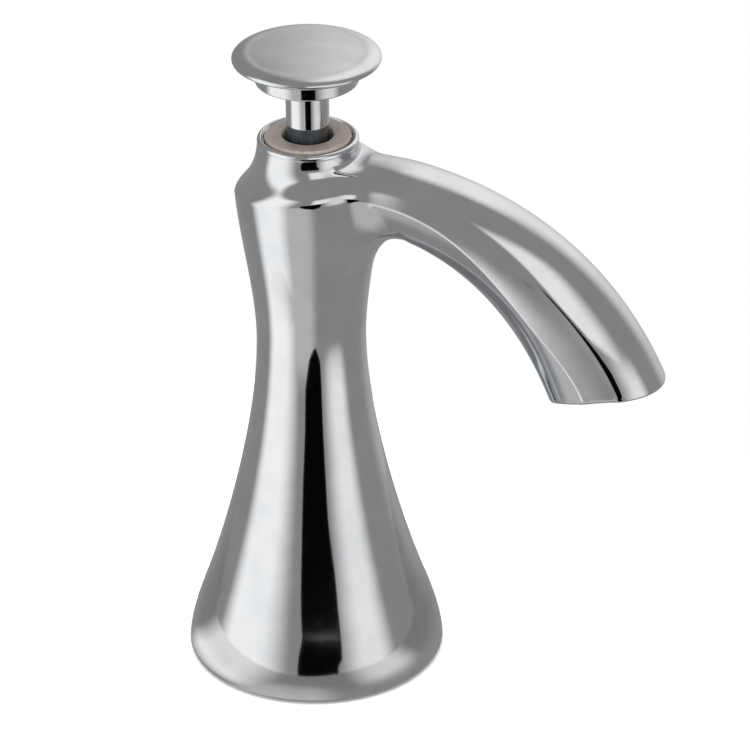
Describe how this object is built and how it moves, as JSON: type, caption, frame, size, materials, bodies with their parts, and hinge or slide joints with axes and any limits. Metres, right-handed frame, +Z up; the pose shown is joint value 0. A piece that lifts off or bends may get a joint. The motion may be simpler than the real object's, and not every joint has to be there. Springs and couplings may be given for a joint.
{
  "type": "soap pump dispenser",
  "caption": "Deck-mounted soap pump dispenser: a flared column with a fixed arched spout, a round push button, a lift-out pump and a bottle below the counter.",
  "frame": {"origin": "on the pump's axis in the plane of the counter top, where the foot stands", "axes": "+Z up along the pump's axis, +X out along the spout, +Y to the left of someone who looks out along the spout"},
  "size_m": [0.1167, 0.074, 0.3373],
  "materials": {
    "chrome_casting": "polished chrome plate",
    "chrome_button": "polished chrome plate",
    "collar_plastic": "satin moulded",
    "stem_plastic": "satin moulded",
    "nozzle_plastic": "satin moulded",
    "pump_plastic": "moulded",
    "rubber": "moulded",
    "spring_steel": "drawn wire",
    "ball_steel": "ground ball",
    "clear_tube": "extruded",
    "bottle_plastic": "blow moulded",
    "nut_plastic": "moulded",
    "shank_brass": "machined thread"
  },
  "bodies": {
    "deck_body": {"spout_body": "chrome_casting", "base_gasket": "rubber", "mounting_shank": "shank_brass", "deck_washer": "rubber", "mounting_nut": "nut_plastic", "soap_bottle": "bottle_plastic", "bottle_seal": "rubber", "outlet_fitting": "pump_plastic", "spout_tube": "clear_tube", "spout_nozzle": "nozzle_plastic"},
    "pump_cartridge": {"pump_collar": "collar_plastic", "rod_wiper": "rubber", "pump_barrel": "pump_plastic", "upper_o_ring": "rubber", "lower_o_ring": "rubber", "return_spring": "spring_steel", "inlet_valve_seat": "pump_plastic", "dip_tube": "clear_tube"},
    "plunger": {"push_cap": "chrome_button", "cap_base_disc": "chrome_button", "stem_sleeve": "chrome_button", "piston_rod": "stem_plastic", "piston_head": "pump_plastic", "piston_seal": "rubber"},
    "inlet_valve": {"inlet_ball": "ball_steel"},
    "outlet_valve": {"outlet_ball": "ball_steel"}
  },
  "joints": [
    {"name": "cartridge_lift", "type": "slide", "parent": "deck_body", "child": "pump_cartridge", "axis": [0, 0, 1], "range_m": [0, 0.32]},
    {"name": "plunger_press", "type": "slide", "parent": "pump_cartridge", "child": "plunger", "axis": [0, 0, -1], "range_m": [0, 0.012], "stiffness_N_per_m": 330, "springref_m": -0.012, "deforming": ["return_spring"]},
    {"name": "inlet_ball_lift", "type": "slide", "parent": "pump_cartridge", "child": "inlet_valve", "axis": [0, 0, 1], "range_m": [0, 0.0015]},
    {"name": "outlet_ball_lift", "type": "slide", "parent": "plunger", "child": "outlet_valve", "axis": [0, 0, 1], "range_m": [0, 0.0015]}
  ]
}
